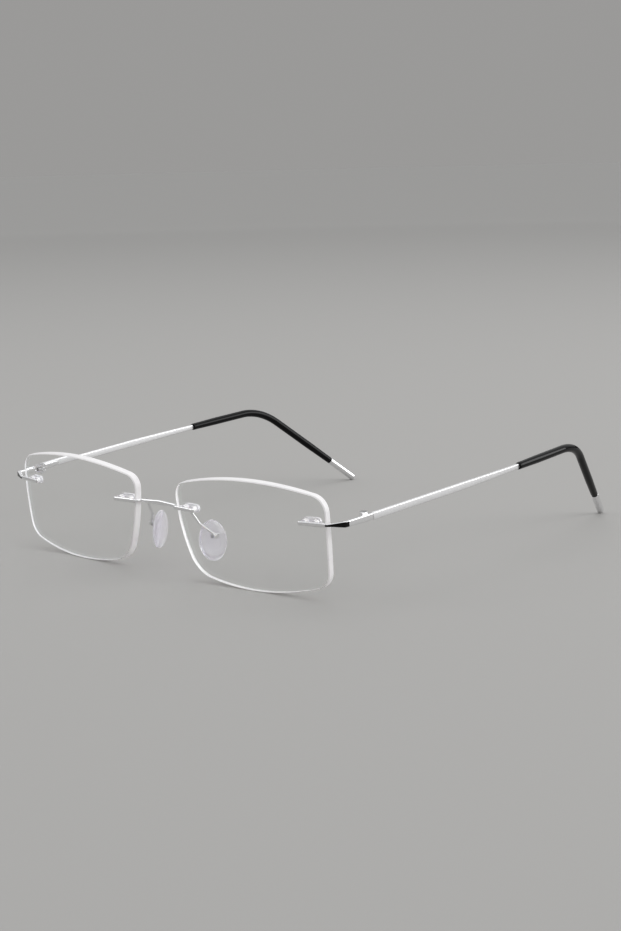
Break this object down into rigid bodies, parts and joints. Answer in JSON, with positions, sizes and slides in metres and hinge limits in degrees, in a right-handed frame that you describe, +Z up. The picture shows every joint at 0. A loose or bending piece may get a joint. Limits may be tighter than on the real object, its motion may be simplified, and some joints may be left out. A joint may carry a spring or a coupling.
{
  "type": "rimless reading glasses",
  "caption": "Rimless reading glasses: drilled lenses on a metal bridge, folding strip temples with black ear sleeves and capped tips, and clear rocking nose pads.",
  "frame": {"origin": "on the table, midway between the two sides and midway from the front of the bridge to the tips", "axes": "+X to the wearer's left, +Y back along the temples, +Z up"},
  "size_m": [0.1354, 0.1476, 0.0311],
  "materials": {
    "lens": "clear optical plastic with ground edges and a faint coating tint",
    "bushing": "clear moulded plastic",
    "pad": "clear soft silicone",
    "sleeve": "glossy black",
    "polished": "polished silver plating",
    "satin": "satin silver",
    "screw": "plain steel"
  },
  "bodies": {
    "front": {"bridge": "polished", "left_lens": "lens", "right_lens": "lens", "left_nasal_bushing": "bushing", "right_nasal_bushing": "bushing", "left_temporal_bushing": "bushing", "right_temporal_bushing": "bushing", "left_endpiece": "polished", "right_endpiece": "polished", "left_front_leaf": "polished", "right_front_leaf": "polished", "left_hinge_screw": "screw", "right_hinge_screw": "screw", "left_pad_arm": "polished", "right_pad_arm": "polished", "left_pad_screw": "screw", "right_pad_screw": "screw"},
    "left_temple": {"left_temple": "satin", "left_temple_leaf": "polished", "left_tip_sleeve": "sleeve", "left_tip_cap": "polished"},
    "right_temple": {"right_temple": "satin", "right_temple_leaf": "polished", "right_tip_sleeve": "sleeve", "right_tip_cap": "polished"},
    "left_pad": {"left_nose_pad": "pad", "left_pad_insert": "bushing"},
    "right_pad": {"right_nose_pad": "pad", "right_pad_insert": "bushing"}
  },
  "joints": [
    {"name": "left_temple_fold", "type": "hinge", "parent": "front", "child": "left_temple", "pos_m": [0.06397, -0.0573, 0.02202], "axis": [0, 0, 1], "range_deg": [0, 88]},
    {"name": "right_temple_fold", "type": "hinge", "parent": "front", "child": "right_temple", "pos_m": [-0.06397, -0.0573, 0.02202], "axis": [0, 0, -1], "range_deg": [0, 82]},
    {"name": "left_pad_rock", "type": "hinge", "parent": "front", "child": "left_pad", "pos_m": [0.0132, -0.06079, 0.0115], "axis": [0.3231, 0.9404, 0.1055], "range_deg": [-8, 8]},
    {"name": "right_pad_rock", "type": "hinge", "parent": "front", "child": "right_pad", "pos_m": [-0.0132, -0.06079, 0.0115], "axis": [-0.3231, 0.9404, 0.1055], "range_deg": [-8, 8]}
  ]
}
